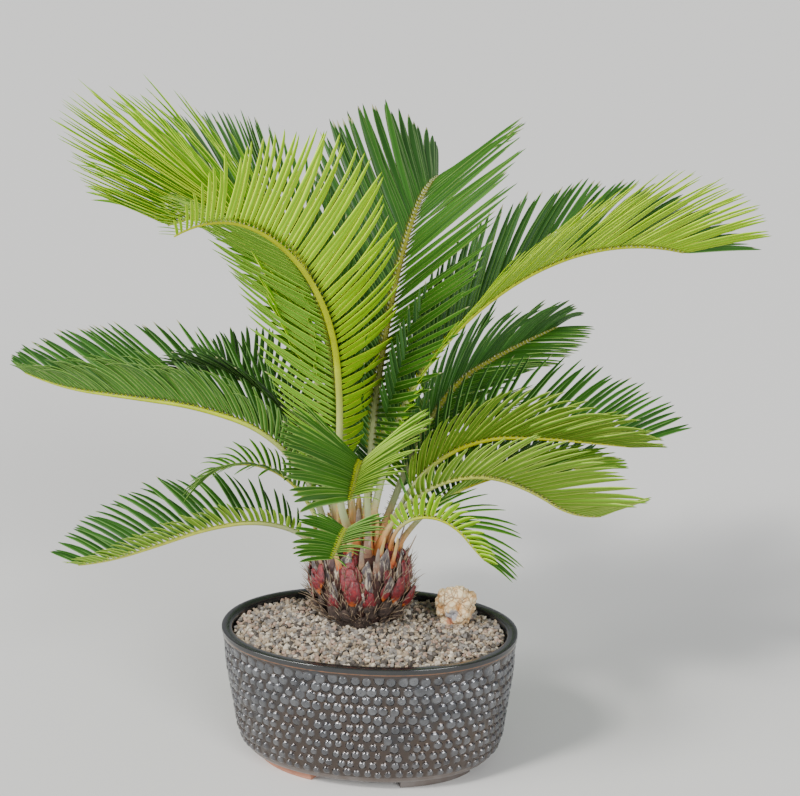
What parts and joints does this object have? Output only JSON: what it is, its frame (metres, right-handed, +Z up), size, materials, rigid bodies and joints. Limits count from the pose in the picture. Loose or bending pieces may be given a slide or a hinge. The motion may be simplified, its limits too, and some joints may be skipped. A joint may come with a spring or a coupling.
{
  "type": "sago palm bonsai",
  "caption": "Potted sago palm bonsai: a short scaly caudex under a crown of arching feather fronds, in an oval hobnail-glazed pot filled with grit.",
  "frame": {"origin": "middle of the whole plant's bounding box, on the plane the pot's feet stand on; the pot's centre is 16 mm towards +X and 50 mm towards -Y from it", "axes": "+Z up; +X along the pot's long axis, towards the accent stone's end; the pot's front, where the pictured side is, faces -Y"},
  "size_m": [0.8194, 0.6993, 0.6745],
  "materials": {
    "pot": "gloss",
    "grit": "matte",
    "accent_stone": "matte",
    "trunk": "matte",
    "frond_young": "satin",
    "frond_old": "satin"
  },
  "bodies": {
    "root": {"pot": "pot", "grit": "grit", "accent_stone": "accent_stone", "trunk": "trunk", "frond_back_left": "frond_old", "frond_back_low": "frond_old", "frond_back_right": "frond_old", "frond_back_tall_inner": "frond_old", "frond_back_tall_outer": "frond_old", "frond_centre_tall": "frond_old", "frond_front_mid_inner": "frond_old", "frond_front_mid_outer": "frond_old", "frond_front_small": "frond_young", "frond_front_tall_inner": "frond_young", "frond_front_tall_outer": "frond_young", "frond_left_low": "frond_old", "frond_left_mid_inner": "frond_old", "frond_left_mid_outer": "frond_old", "frond_left_rear": "frond_old", "frond_left_tall_inner": "frond_young", "frond_left_tall_outer": "frond_young", "frond_left_under": "frond_old", "frond_right_low_inner": "frond_old", "frond_right_low_outer": "frond_old", "frond_right_mid_inner": "frond_old", "frond_right_mid_outer": "frond_old", "frond_right_rear": "frond_old", "frond_right_small": "frond_young", "frond_right_tall_inner": "frond_young", "frond_right_tall_outer": "frond_young", "frond_right_under": "frond_old"}
  },
  "joints": []
}
